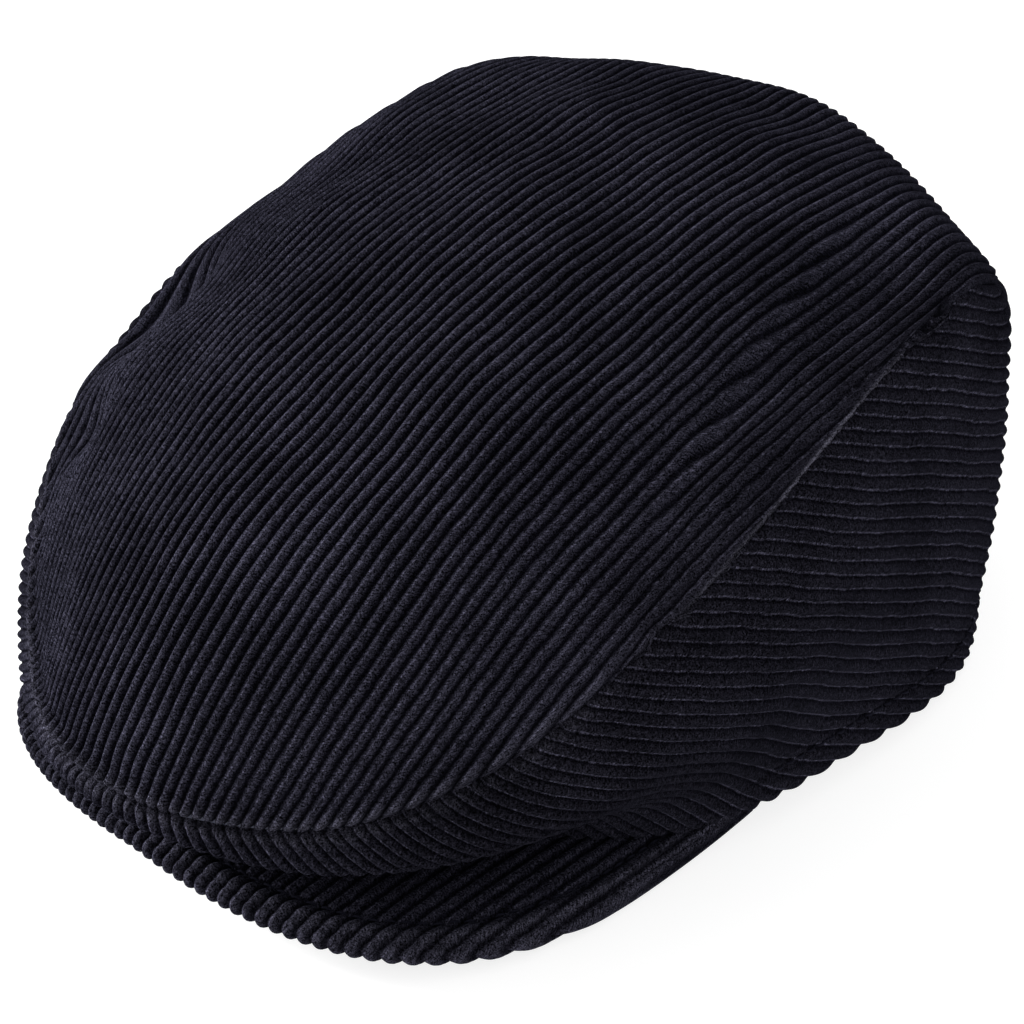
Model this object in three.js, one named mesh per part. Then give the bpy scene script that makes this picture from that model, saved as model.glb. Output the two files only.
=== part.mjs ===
// A corduroy flat cap with a stiff brim, laid down on its hem.
// Millimetres, +Z up, the brim points to -Y and the wearer's left is +X.
// The cap is symmetric about the plane x = 0, and the origin lies under the middle of its box.
import * as THREE from 'three';
import { mergeVertices } from 'three/addons/utils/BufferGeometryUtils.js';

// ---------------------------------------------------------------- driving dimensions

// Crown seam, where the top panel meets the side panels: points that a smooth curve is
// drawn through from the front centre to the back centre on the wearer's left.
const SEAM = [
  [0, -137, 36],
  [52, -104, 27],
  [89, -64, 66],
  [84, 10, 96],
  [73, 69, 110],
  [74, 86, 92],
  [0, 101, 114],
];

// Hem, the edge of the head opening, in the same order. It lies flat on the table at the back.
const HEM = [
  [0, -82, 19],
  [49, -72, 15],
  [87, -33, 10],
  [85, 20, 7],
  [83, 71, 0],
  [42, 114, 0],
  [0, 131, 0],
];

// How a side panel leaves the seam (outward, down) and reaches the hem (outward, up).
// At the front the panel folds under into a lip, and at the back it is a tall bulging wall.
const WALL_HANDLES = [
  [6, 10, 44, 9],
  [11, 23, 23, 25],
  [18, 36, 7, 36],
  [15, 34, 3, 36],
  [9, 29, 4, 33],
  [6, 25, 6, 30],
  [8, 24, 13, 30],
];

// Centre line of the top panel: how far its handles reach back and up from both ends.
const CROWN_FRONT_HANDLE = [25, 63];
const CROWN_BACK_HANDLE = [79, 24];
const CROWN_ARCH_POWER = 2.2;

// Brim: the middle of its front edge, how wide its front is, and its two ends at the temples.
const BRIM_FRONT = [0, -122, 15];
const BRIM_FRONT_HANDLE = [93, -7];
const BRIM_END = 0.4;
const BRIM_END_HANDLE = [-1, -42, -6];
const BRIM_END_WIDTH = 3;
const BRIM_DROP = 2.5;
const BRIM_BOW = 2;
const BRIM_THINNING = 0.35;
const BRIM_INNER_TUCK = 1.5;

// Thicknesses and gaps.
const CLOTH = 2.2;
const LINING = [3.5, 4.1];
const BACK_TAPE = [2.7, 3.05];
const HEM_TAPE = [4.5, 5.0];
const HEM_TAPE_LIFT = 3;
const SWEATBAND = [5.4, 6.5];
const SWEATBAND_HEIGHT = 30;
const SWEATBAND_LIFT = 2;
const HEM_TAPE_HEIGHT = 14;
const SEAM_GAP = 0.25;
const BRIM_TOP_SKIN = [0, 1.5];
const BOARD = [1.8, 3.1];
const BRIM_BOTTOM_SKIN = [3.4, 4.8];
const BRIM_SKINS_MEET = [2.3, 2.6];
const BOARD_MARGIN = 6;
const BOARD_ENDS = 0.9;
const THREAD_RADIUS = 0.4;
const THREAD_LIFT = 0.7;
const BRIM_STITCH_MARGIN = 8;
const HEM_STITCH_HEIGHT = 7;

// Press stud that holds the lip down on the brim.
const STUD_Y = -106;
const SOCKET_RADIUS = 5;
const SOCKET_BORE = 2.6;
const SOCKET_HEIGHT = 1.8;
const STUD_RADIUS = 5;
const STUD_BALL_RADIUS = 1.9;
const STUD_BALL_HEIGHT = 1.6;
const STUD_BASE = 1.0;
const STUD_EDGE = { height: 0.6, chamfer: 0.8 };
const STUD_BALL_ROUNDING = 0.4;
const WASHER_RADIUS = 5;
const WASHER_HEIGHT = 0.8;
const STUD_CLEARANCE = 0.8;
// Share of the front wall's height, up from the hem, that is the lip's underside.
const LIP_SHARE = 0.6;

// Plain size label sewn to the back of the sweatband, standing a little off its curve.
const LABEL = { width: 18, height: 12, thickness: 0.6, lift: 12, gap: 1.2 };

// Direction in which every layer steps in from the crown seam: inwards and down.
const SEAM_MITRE = { inward: 0.79, down: 0.61 };

// How far the mitre reaches, as a share of a side panel's height and of the top's radius. A
// slack layer needs more of it.
const SIDE_MITRE_REACH = 0.18;
const SLACK_MITRE_REACH = 0.6;
const TOP_MITRE_REACH = 0.15;

// The wall's thickness is level at the hem behind the lip: the share of the way round where
// that starts, how quickly it takes over, and the share of the height it fills.
const LEVEL_START = 0.12;
const LEVEL_BLEND = 0.2;
const LEVEL_HEIGHT = 0.25;

// The lining cuts the corner of the lip: its fullness there, and where it becomes full.
const LINING_FULLNESS_AT_FRONT = 0.2;
const LINING_FULL_START = 0.15;
const LINING_FULL_BLEND = 0.35;
const LINING_SPAN = [0.16, 0.9];

// Typical lengths that turn millimetres into shares: the top's radius, a side panel's height
// at the seam and at the hem.
const TOP_RADIUS = 75;
const SIDE_HEIGHT_AT_SEAM = 40;
const SIDE_HEIGHT_AT_HEM = 90;

// The back seam's tape: half its width as a share of the half outline, and where it runs.
const BACK_TAPE_HALF_WIDTH = 0.035;
const BACK_TAPE_SPAN = [0.08, 0.9];

// Share of the brim's half width that its stitching covers.
const BRIM_STITCH_ENDS = 0.86;

// Mesh steps.
const STEPS_AROUND_HALF = 26;
const STEPS_UP_WALL = 9;
const RINGS_ON_TOP = 8;
const STEPS_ALONG_BRIM = 40;
const STEPS_ACROSS_BRIM = 4;
const STEPS_ALONG_BRIM_STITCH = 44;
const STEPS_ALONG_HEM_STITCH = 50;
const STEPS_UP_LINING = 5;
const STEPS_ACROSS_TAPE = 4;
const STEPS_UP_TAPE = 8;
const STEPS_OF_SEARCH = 400;
const HALVINGS = 40;
const THREAD_SIDES = 6;
const TURNED_SIDES = 24;
const LAST_RING = 0.95;
const MERGE_DISTANCE = 1e-4;

// ---------------------------------------------------------------- colours

const corduroy = { color: 0x17171f, roughness: 0.95, metalness: 0 };
const satin = { color: 0x1a2138, roughness: 0.35, metalness: 0 };
const ribbon = { color: 0x14161f, roughness: 0.6, metalness: 0 };
const board = { color: 0xb9b4a6, roughness: 0.8, metalness: 0 };
const thread = { color: 0x22232e, roughness: 0.7, metalness: 0 };
const darkMetal = { color: 0x2b2b30, roughness: 0.35, metalness: 0.9 };
const labelCloth = { color: 0xcfcfcf, roughness: 0.7, metalness: 0 };

// ---------------------------------------------------------------- small vector helpers

const add = (a, b, k = 1) => a.map((value, i) => value + k * b[i]);
const sub = (a, b) => add(a, b, -1);
const mix = (a, b, k) => a.map((value, i) => value + k * (b[i] - value));
const length = (a) => Math.hypot(...a);
const unit = (a) => a.map((value) => value / (length(a) || 1));
const cross = (a, b) => [
  a[1] * b[2] - a[2] * b[1],
  a[2] * b[0] - a[0] * b[2],
  a[0] * b[1] - a[1] * b[0],
];
const NUDGE = 1e-3;
const clamp01 = (k) => Math.min(1, Math.max(0, k));
const smooth = (k) => clamp01(k) ** 2 * (3 - 2 * clamp01(k));
const steps = (from, to, count) =>
  Array.from({ length: count + 1 }, (_, i) => from + ((to - from) * i) / count);

function cubic(p0, p1, p2, p3, k) {
  const r = 1 - k;
  return p0.map((_, i) =>
    r ** 3 * p0[i] + 3 * k * r * r * p1[i] + 3 * k * k * r * p2[i] + k ** 3 * p3[i]);
}

// A smooth closed curve from the points of one half. Parameter t runs from 0 at the front
// centre to 1 at the back centre, and negative t gives the mirrored half.
function halfCurve(points, mirrored) {
  const last = points.length - 1;
  const control = (index) => {
    const k = ((index % (2 * last)) + 2 * last) % (2 * last);
    if (k <= last) return points[k];
    const point = points[2 * last - k].slice();
    if (mirrored) point[0] = -point[0];
    return point;
  };
  return (t) => {
    const place = Math.abs(t) * last;
    const i = Math.floor(place);
    const u = place - i;
    const weights = [
      (1 - u) ** 3 / 6,
      (3 * u ** 3 - 6 * u * u + 4) / 6,
      (-3 * u ** 3 + 3 * u * u + 3 * u + 1) / 6,
      u ** 3 / 6,
    ];
    const point = points[0].map((_, axis) =>
      weights.reduce((sum, weight, j) => sum + weight * control(i - 1 + j)[axis], 0));
    if (mirrored && t < 0) point[0] = -point[0];
    return point;
  };
}

const seamAt = halfCurve(SEAM, true);
const hemAt = halfCurve(HEM, true);
const handlesAt = halfCurve(WALL_HANDLES, false);

// Horizontal direction away from the head at parameter t.
const outwardAt = (t) => [Math.sin(Math.PI * t), -Math.cos(Math.PI * t), 0];

const mitreAt = (t) => {
  const out = outwardAt(t);
  return unit([-SEAM_MITRE.inward * out[0], -SEAM_MITRE.inward * out[1], -SEAM_MITRE.down]);
};

// ---------------------------------------------------------------- the cap's surfaces

// Side wall: v = 0 on the crown seam, v = 1 on the hem. Fullness 1 is the outer cloth, and a
// smaller fullness pulls the wall inwards, as the lining is behind the lip.
function wallPoint(t, v, fullness = 1) {
  const seam = seamAt(t);
  const hem = hemAt(t);
  const out = outwardAt(t);
  const [seamOut, seamDown, hemOut, hemUp] = handlesAt(t);
  const afterSeam = add(add(seam, out, seamOut * fullness), [0, 0, -seamDown * fullness]);
  const beforeHem = add(add(hem, out, hemOut * fullness), [0, 0, hemUp]);
  return cubic(seam, afterSeam, beforeHem, hem, v);
}

// The direction of thickness: the mitre at the seam, then square to the wall, then level at the
// hem wherever the wall stands on it.
function wallInward(t, v, fullness) {
  const v0 = Math.max(0, v - NUDGE);
  const v1 = Math.min(1, v + NUDGE);
  const alongT = sub(wallPoint(t + NUDGE, v, fullness), wallPoint(t - NUDGE, v, fullness));
  const alongV = sub(wallPoint(t, v1, fullness), wallPoint(t, v0, fullness));
  const normal = unit(cross(alongT, alongV));
  const behindLip = smooth((Math.abs(t) - LEVEL_START) / LEVEL_BLEND);
  const atHem = smooth((v - 1) / LEVEL_HEIGHT + 1);
  normal[2] *= 1 - atHem * behindLip;
  const mitreReach = SIDE_MITRE_REACH + SLACK_MITRE_REACH * (1 - fullness);
  return unit(mix(normal, mitreAt(t), 1 - smooth(v / mitreReach)));
}

function wall(t, v, depth, fullness = 1) {
  return add(wallPoint(t, v, fullness), wallInward(t, v, fullness), depth);
}

// Top panel: an arch over the seam at every station y.
const crownStart = seamAt(0);
const crownEnd = seamAt(1);

function seamAtStation(y) {
  let low = 0;
  let high = 1;
  for (let i = 0; i < HALVINGS; i++) {
    const middle = (low + high) / 2;
    if (seamAt(middle)[1] < y) low = middle;
    else high = middle;
  }
  return seamAt((low + high) / 2);
}

function centreHeight(y) {
  const p0 = crownStart.slice(1);
  const p3 = crownEnd.slice(1);
  const p1 = add(p0, CROWN_FRONT_HANDLE);
  const p2 = [p3[0] - CROWN_BACK_HANDLE[0], p3[1] + CROWN_BACK_HANDLE[1]];
  let low = 0;
  let high = 1;
  for (let i = 0; i < HALVINGS; i++) {
    const middle = (low + high) / 2;
    if (cubic(p0, p1, p2, p3, middle)[0] < y) low = middle;
    else high = middle;
  }
  return cubic(p0, p1, p2, p3, (low + high) / 2)[1];
}

function topHeight(x, y) {
  const [halfWidth, , seamHeight] = seamAtStation(y);
  const across = clamp01(Math.abs(x) / Math.max(halfWidth, 1e-6));
  return seamHeight + (centreHeight(y) - seamHeight) * (1 - across ** CROWN_ARCH_POWER);
}

const topCentreY = (crownStart[1] + crownEnd[1]) / 2;

// reach = 0 at the middle of the top panel, reach = 1 on the seam.
function topPoint(t, reach) {
  const seam = seamAt(t);
  const x = seam[0] * reach;
  const y = topCentreY + (seam[1] - topCentreY) * reach;
  return [x, y, reach === 1 ? seam[2] : topHeight(x, y)];
}

function topInward(t, reach) {
  if (reach === 0) return [0, 0, -1];
  const inner = Math.min(reach, 1 - 10 * NUDGE);
  const alongT = sub(topPoint(t + NUDGE, inner), topPoint(t - NUDGE, inner));
  const alongReach = sub(topPoint(t, inner + NUDGE), topPoint(t, inner - NUDGE));
  const normal = unit(cross(alongT, alongReach));
  return unit(mix(normal, mitreAt(t), smooth((reach - 1) / TOP_MITRE_REACH + 1)));
}

const top = (t, reach, depth) => add(topPoint(t, reach), topInward(t, reach), depth);

// Brim: across = -1..1 from temple to temple, out = 0 on the inner edge, 1 on the rim.
function brimRim(across) {
  const side = Math.sign(across) || 1;
  const end = hemAt(BRIM_END);
  const tip = add(add(end, outwardAt(BRIM_END), BRIM_END_WIDTH), [0, 0, -BRIM_DROP]);
  const front = [BRIM_FRONT_HANDLE[0], BRIM_FRONT[1], BRIM_FRONT[2] + BRIM_FRONT_HANDLE[1]];
  const point = cubic(BRIM_FRONT, front, add(tip, BRIM_END_HANDLE), tip, Math.abs(across));
  point[0] *= side;
  return point;
}

// Direction away from the head at right angles to the hem's outline, in plan.
function hemOutward(t) {
  const along = sub(hemAt(t + NUDGE), hemAt(t - NUDGE));
  return unit([along[1], -along[0], 0]);
}

function brimInner(across) {
  const t = across * BRIM_END;
  return add(add(hemAt(t), hemOutward(t), -BRIM_INNER_TUCK), [0, 0, -BRIM_DROP]);
}

// The brim's layers thin out together towards the temples.
function brim(across, out, depth) {
  const point = mix(brimInner(across), brimRim(across), out);
  const thinning = 1 - BRIM_THINNING * across ** 4;
  point[2] += BRIM_BOW * 4 * out * (1 - out) * (1 - across ** 2) - depth * thinning;
  return point;
}

// ---------------------------------------------------------------- solids from grids

function solidFrom(positions, triangles) {
  const geometry = new THREE.BufferGeometry();
  geometry.setAttribute('position', new THREE.Float32BufferAttribute(positions.flat(), 3));
  geometry.setIndex(triangles.flat());
  const merged = mergeVertices(geometry, MERGE_DISTANCE);
  merged.computeVertexNormals();
  return merged;
}

function signedVolume(positions, triangles) {
  let volume = 0;
  for (const [a, b, c] of triangles) {
    const [p, q, r] = [positions[a], positions[b], positions[c]];
    const normal = cross(q, r);
    volume += p[0] * normal[0] + p[1] * normal[1] + p[2] * normal[2];
  }
  return volume;
}

function facingOut(positions, triangles) {
  if (signedVolume(positions, triangles) > 0) return triangles;
  return triangles.map(([a, b, c]) => [a, c, b]);
}

// A sheet with thickness: outer(u, v) and inner(u, v) over the same grid. A sheet that runs
// right round repeats its first column instead of closing with two end faces.
function sheetSolid(us, vs, outer, inner, closedRound = false) {
  const columns = closedRound ? us.slice(0, -1) : us;
  const rows = vs.length;
  const positions = [];
  for (const skin of [outer, inner]) {
    for (const u of columns) for (const v of vs) positions.push(skin(u, v));
  }
  const count = columns.length;
  const at = (layer, i, j) => layer * count * rows + (i % count) * rows + j;
  const triangles = [];
  const quad = (a, b, c, d) => triangles.push([a, b, c], [a, c, d]);
  const spans = closedRound ? count : count - 1;
  for (let i = 0; i < spans; i++) {
    for (let j = 0; j < rows - 1; j++) {
      quad(at(0, i, j), at(0, i + 1, j), at(0, i + 1, j + 1), at(0, i, j + 1));
      quad(at(1, i, j), at(1, i, j + 1), at(1, i + 1, j + 1), at(1, i + 1, j));
    }
    quad(at(0, i + 1, 0), at(0, i, 0), at(1, i, 0), at(1, i + 1, 0));
    quad(at(0, i, rows - 1), at(0, i + 1, rows - 1), at(1, i + 1, rows - 1), at(1, i, rows - 1));
  }
  if (!closedRound) {
    for (let j = 0; j < rows - 1; j++) {
      quad(at(0, 0, j), at(0, 0, j + 1), at(1, 0, j + 1), at(1, 0, j));
      quad(at(0, count - 1, j + 1), at(0, count - 1, j), at(1, count - 1, j), at(1, count - 1, j + 1));
    }
  }
  return solidFrom(positions, facingOut(positions, triangles));
}

// A bowl-shaped sheet: rings from a middle point to the rim, with thickness.
function bowlSolid(ts, reaches, outerDepth, innerDepth) {
  const around = ts.slice(0, -1);
  const count = around.length;
  const positions = [top(0, 0, outerDepth), top(0, 0, innerDepth)];
  for (const depth of [outerDepth, innerDepth]) {
    for (const reach of reaches) for (const t of around) positions.push(top(t, reach, depth));
  }
  const at = (layer, ring, i) => 2 + (layer * reaches.length + ring) * count + (i % count);
  const triangles = [];
  const quad = (a, b, c, d) => triangles.push([a, b, c], [a, c, d]);
  const rim = reaches.length - 1;
  for (let i = 0; i < count; i++) {
    triangles.push([0, at(0, 0, i), at(0, 0, i + 1)], [1, at(1, 0, i + 1), at(1, 0, i)]);
    for (let ring = 0; ring < rim; ring++) {
      quad(at(0, ring, i), at(0, ring + 1, i), at(0, ring + 1, i + 1), at(0, ring, i + 1));
      quad(at(1, ring, i), at(1, ring, i + 1), at(1, ring + 1, i + 1), at(1, ring + 1, i));
    }
    quad(at(0, rim, i), at(1, rim, i), at(1, rim, i + 1), at(0, rim, i + 1));
  }
  return solidFrom(positions, facingOut(positions, triangles));
}

function tubeAlong(points, radius, sides) {
  const section = new THREE.Shape(
    Array.from({ length: sides }, (_, i) => new THREE.Vector2(
      radius * Math.cos((2 * Math.PI * i) / sides), radius * Math.sin((2 * Math.PI * i) / sides))));
  const path = new THREE.CatmullRomCurve3(points.map((p) => new THREE.Vector3(...p)));
  const geometry = new THREE.ExtrudeGeometry(section, {
    steps: points.length - 1, bevelEnabled: false, extrudePath: path,
  });
  geometry.deleteAttribute('normal');
  geometry.deleteAttribute('uv');
  return mergeVertices(geometry, MERGE_DISTANCE);
}

// ---------------------------------------------------------------- the pieces

const cap = new THREE.Group();

function piece(name, geometry, look, position = [0, 0, 0]) {
  const mesh = new THREE.Mesh(geometry, new THREE.MeshStandardMaterial(look));
  mesh.name = name;
  mesh.position.set(...position);
  cap.add(mesh);
}

const allRound = steps(-1, 1, 2 * STEPS_AROUND_HALF);
const leftSide = steps(0, 1, STEPS_AROUND_HALF);
const halves = { left: 1, right: -1 };

const TOP_EDGE = 1 - SEAM_GAP / TOP_RADIUS;
const REACHES = [
  ...steps(1 / RINGS_ON_TOP, 1 - 1 / RINGS_ON_TOP, RINGS_ON_TOP - 2), LAST_RING, TOP_EDGE,
];
const WALL_START = SEAM_GAP / SIDE_HEIGHT_AT_SEAM;
// The side panels stop this far short of the centre lines, as a share of the half outline.
const GAP_IN_T = 0.0012;

// Each side runs from the front centre to the back centre, and the right one mirrors the left.
function side(sign, vs, depths, fullness) {
  const ts = leftSide.map((t) => sign * Math.min(1 - GAP_IN_T, Math.max(GAP_IN_T, t)));
  return sheetSolid(ts, vs,
    (t, v) => wall(t, v, depths[0], fullness(t)),
    (t, v) => wall(t, v, depths[1], fullness(t)));
}

const fullCloth = () => 1;
const liningFullness = (t) => LINING_FULLNESS_AT_FRONT + (1 - LINING_FULLNESS_AT_FRONT)
  * smooth((Math.abs(t) - LINING_FULL_START) / LINING_FULL_BLEND);

// An upright band inside the hem, all the way round the head opening.
function band(depths, lift, height) {
  const at = (t, v, depth) => {
    const foot = add(hemAt(t), hemOutward(t), -depth);
    return [foot[0], foot[1], foot[2] + lift + v * height];
  };
  return sheetSolid(allRound, [0, 1],
    (t, v) => at(t, v, depths[0]), (t, v) => at(t, v, depths[1]), true);
}

// How much of the brim's width the board fills at a place across it.
function boardReach(across) {
  const width = length(sub(brimRim(across), brimInner(across)));
  return 1 - BOARD_MARGIN / Math.max(width, 2 * BOARD_MARGIN);
}

// Rows across the brim's width: 0 on the inner edge, 1 at the board's edge, RIM on the rim.
const BRIM_ROWS = steps(0, 1, STEPS_ACROSS_BRIM);
const RIM = 2;
const BOARD_CLEARANCE = 0.02;

function coverOut(across, row) {
  return row === RIM ? 1 : row * (boardReach(across) + BOARD_CLEARANCE);
}

// A cover keeps its depth over the board and runs to the other cover at the rim.
function brimCover([upper, lower], [upperAtRim, lowerAtRim]) {
  return sheetSolid(steps(-1, 1, STEPS_ALONG_BRIM), [...BRIM_ROWS, RIM],
    (a, row) => brim(a, coverOut(a, row), row === RIM ? upperAtRim : upper),
    (a, row) => brim(a, coverOut(a, row), row === RIM ? lowerAtRim : lower));
}

function brimBoard() {
  const across = steps(-BOARD_ENDS, BOARD_ENDS, Math.round(STEPS_ALONG_BRIM * BOARD_ENDS));
  return sheetSolid(across, BRIM_ROWS,
    (a, row) => brim(a, row * boardReach(a), BOARD[0]),
    (a, row) => brim(a, row * boardReach(a), BOARD[1]));
}

function brimStitching() {
  const points = steps(-BRIM_STITCH_ENDS, BRIM_STITCH_ENDS, STEPS_ALONG_BRIM_STITCH).map((a) => {
    const width = length(sub(brimRim(a), brimInner(a)));
    return brim(a, 1 - BRIM_STITCH_MARGIN / width, -THREAD_LIFT);
  });
  return tubeAlong(points, THREAD_RADIUS, THREAD_SIDES);
}

// The hem's row of stitches runs from temple to temple round the back.
function hemStitching() {
  const ts = steps(BRIM_END, 2 - BRIM_END, STEPS_ALONG_HEM_STITCH);
  const points = ts.map((t) => {
    const around = t > 1 ? t - 2 : t;
    return wall(around, 1 - HEM_STITCH_HEIGHT / SIDE_HEIGHT_AT_HEM, -THREAD_LIFT);
  });
  return tubeAlong(points, THREAD_RADIUS, THREAD_SIDES);
}

// Tape over the centre-back seam, between the cloth and the lining.
function backSeamTape() {
  const at = (t, v, depth) => wall(t > 1 ? t - 2 : t, v, depth);
  const ts = steps(1 - BACK_TAPE_HALF_WIDTH, 1 + BACK_TAPE_HALF_WIDTH, STEPS_ACROSS_TAPE);
  return sheetSolid(ts, steps(...BACK_TAPE_SPAN, STEPS_UP_TAPE),
    (t, v) => at(t, v, BACK_TAPE[0]), (t, v) => at(t, v, BACK_TAPE[1]));
}

function ring(outerRadius, innerRadius, height) {
  const profile = [
    [innerRadius, 0], [outerRadius, 0], [outerRadius, height], [innerRadius, height],
    [innerRadius, 0],
  ].map(([r, z]) => new THREE.Vector2(r, z));
  return latheSolid(profile);
}

function latheSolid(profile) {
  const geometry = new THREE.LatheGeometry(profile, TURNED_SIDES);
  geometry.rotateX(Math.PI / 2);
  geometry.deleteAttribute('normal');
  geometry.deleteAttribute('uv');
  const merged = mergeVertices(geometry, MERGE_DISTANCE);
  const at = (i) => [0, 1, 2].map((axis) => merged.attributes.position.array[3 * i + axis]);
  const index = Array.from(merged.index.array);
  const triangles = [];
  for (let i = 0; i < index.length; i += 3) {
    const [a, b, c] = index.slice(i, i + 3);
    if (a !== b && b !== c && c !== a) triangles.push([a, b, c]);
  }
  const positions = Array.from({ length: merged.attributes.position.count }, (_, i) => at(i));
  return solidFrom(positions, facingOut(positions, triangles));
}

// The stud's base lies on the brim and its ball stands up into the socket.
function studGeometry() {
  const shoulder = STUD_BASE + STUD_BALL_HEIGHT;
  return latheSolid([
    [0, 0],
    [STUD_RADIUS, 0],
    [STUD_RADIUS, STUD_EDGE.height],
    [STUD_RADIUS - STUD_EDGE.chamfer, STUD_BASE],
    [STUD_BALL_RADIUS - STUD_BALL_ROUNDING, STUD_BASE],
    [STUD_BALL_RADIUS, STUD_BASE + STUD_BALL_HEIGHT / 2],
    [STUD_BALL_RADIUS - STUD_BALL_ROUNDING, shoulder],
    [0, shoulder],
  ].map(([r, z]) => new THREE.Vector2(r, z)));
}

// Height of a front-centre curve at the stud's station.
function heightOver(curve) {
  let best = curve(0);
  for (const k of steps(0, 1, STEPS_OF_SEARCH)) {
    const point = curve(k);
    if (Math.abs(point[1] - STUD_Y) < Math.abs(best[1] - STUD_Y)) best = point;
  }
  return best[2];
}

piece('crown_top_panel', bowlSolid(allRound, REACHES, 0, CLOTH), corduroy);
for (const [name, sign] of Object.entries(halves)) {
  const vs = [WALL_START, ...steps(1 / STEPS_UP_WALL, 1, STEPS_UP_WALL - 1)];
  piece(`side_panel_${name}`, side(sign, vs, [0, CLOTH], fullCloth), corduroy);
}
piece('hem_stitching', hemStitching(), thread);
piece('back_seam_tape', backSeamTape(), ribbon);

piece('lining_top', bowlSolid(allRound, REACHES.slice(1), ...LINING), satin);
for (const [name, sign] of Object.entries(halves)) {
  const vs = [WALL_START, ...steps(...LINING_SPAN, STEPS_UP_LINING)];
  piece(`lining_side_${name}`, side(sign, vs, LINING, liningFullness), satin);
}
piece('hem_tape', band(HEM_TAPE, HEM_TAPE_LIFT, HEM_TAPE_HEIGHT), ribbon);
piece('sweatband', band(SWEATBAND, SWEATBAND_LIFT, SWEATBAND_HEIGHT), ribbon);

const [meetAbove, meetBelow] = BRIM_SKINS_MEET;
piece('brim_top_cover', brimCover(BRIM_TOP_SKIN, [BRIM_TOP_SKIN[0], meetAbove]), corduroy);
piece('brim_board', brimBoard(), board);
piece('brim_under_cover', brimCover(BRIM_BOTTOM_SKIN, [meetBelow, BRIM_BOTTOM_SKIN[1]]), corduroy);
piece('brim_stitching', brimStitching(), thread);

const studSeat = heightOver((out) => brim(0, out, 0));
const socketSeat = heightOver((k) => wall(0, 1 - LIP_SHARE * k, 0));
piece('snap_stud', studGeometry(), darkMetal, [0, STUD_Y, studSeat + STUD_CLEARANCE]);
piece('snap_socket', ring(SOCKET_RADIUS, SOCKET_BORE, SOCKET_HEIGHT), darkMetal,
  [0, STUD_Y, socketSeat - SOCKET_HEIGHT - STUD_CLEARANCE]);
piece('snap_washer', ring(WASHER_RADIUS, SOCKET_BORE, WASHER_HEIGHT), darkMetal,
  [0, STUD_Y, socketSeat + CLOTH + STUD_CLEARANCE]);

const labelY = hemAt(1)[1] - SWEATBAND[1] - LABEL.gap - LABEL.thickness / 2;
piece('size_label', new THREE.BoxGeometry(LABEL.width, LABEL.thickness, LABEL.height),
  labelCloth, [0, labelY, LABEL.lift + LABEL.height / 2]);

export default cap;
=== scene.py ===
"""A wide-wale corduroy flat cap lying on a white floor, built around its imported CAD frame.

The cap's outlines are the CAD model's own curves, repeated here in millimetres and eased a
little where cloth settles, and every piece is made on them: ribbed cloth panels, brim, satin
lining, sweatband, stitching. +Z is up, the brim points to -Y and the wearer's left is +X.
"""
import math

import bpy
import numpy as np
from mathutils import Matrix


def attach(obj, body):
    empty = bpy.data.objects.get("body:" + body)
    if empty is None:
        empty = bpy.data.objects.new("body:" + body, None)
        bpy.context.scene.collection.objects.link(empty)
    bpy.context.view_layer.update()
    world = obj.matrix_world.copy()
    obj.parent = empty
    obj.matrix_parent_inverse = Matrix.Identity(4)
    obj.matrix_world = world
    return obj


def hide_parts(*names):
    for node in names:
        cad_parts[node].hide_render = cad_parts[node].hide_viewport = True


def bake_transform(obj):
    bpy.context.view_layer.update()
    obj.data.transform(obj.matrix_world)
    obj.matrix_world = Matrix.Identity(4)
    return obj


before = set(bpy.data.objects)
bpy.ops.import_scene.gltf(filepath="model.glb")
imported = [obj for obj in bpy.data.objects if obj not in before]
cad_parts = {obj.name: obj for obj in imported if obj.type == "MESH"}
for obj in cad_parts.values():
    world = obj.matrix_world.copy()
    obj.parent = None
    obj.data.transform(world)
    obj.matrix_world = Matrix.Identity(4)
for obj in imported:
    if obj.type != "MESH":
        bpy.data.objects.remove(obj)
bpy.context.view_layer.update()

MM = 0.001
TINY = 1e-9  # keeps divisions away from zero
LEAST_WIDTH = 1e-6
UP = np.array([0, 0, 1.0])

# ---- outlines, in millimetres

# Points of smooth curves from the front centre to the back centre, on the wearer's left.
# A place round the cap is t, from 0 in front to 1 at the back, and negative on the right.
# A place down the side wall is v, from 0 on the crown seam to 1 on the hem.
SEAM = np.array([
    (0, -137, 36), (52, -104, 27), (89, -64, 66), (83, 12, 96),
    (72, 69, 110), (75, 84, 87), (0, 100, 120)], float)
HEM = np.array([
    (0, -82, 19), (49, -72, 15), (87, -33, 10), (85, 19, 8),
    (83, 68, 0), (42, 111, 0), (0, 131, 0)], float)
# How a side panel leaves the seam (outward, down) and reaches the hem (outward, up).
WALL_HANDLES = np.array([
    (5, 8, 44, 10), (11, 23, 22, 25), (18, 36, 6, 37), (15, 34, 2, 37),
    (8, 29, 3, 33), (5, 25, 6, 30), (7, 23, 13, 29)], float)
CROWN_FRONT_HANDLE = (25, 65)
CROWN_BACK_HANDLE = (79, 28)
CROWN_ARCH_POWER = 2.2
SEAM_POINTS, CENTRE_POINTS, SIDE_POINTS = 1201, 601, 2001  # how finely curves are measured
STATION_COUNT, SECTION_POINTS = 900, 241
STATION_MARGIN = 0.02  # the first and last sections lie this far inside the seam

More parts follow.
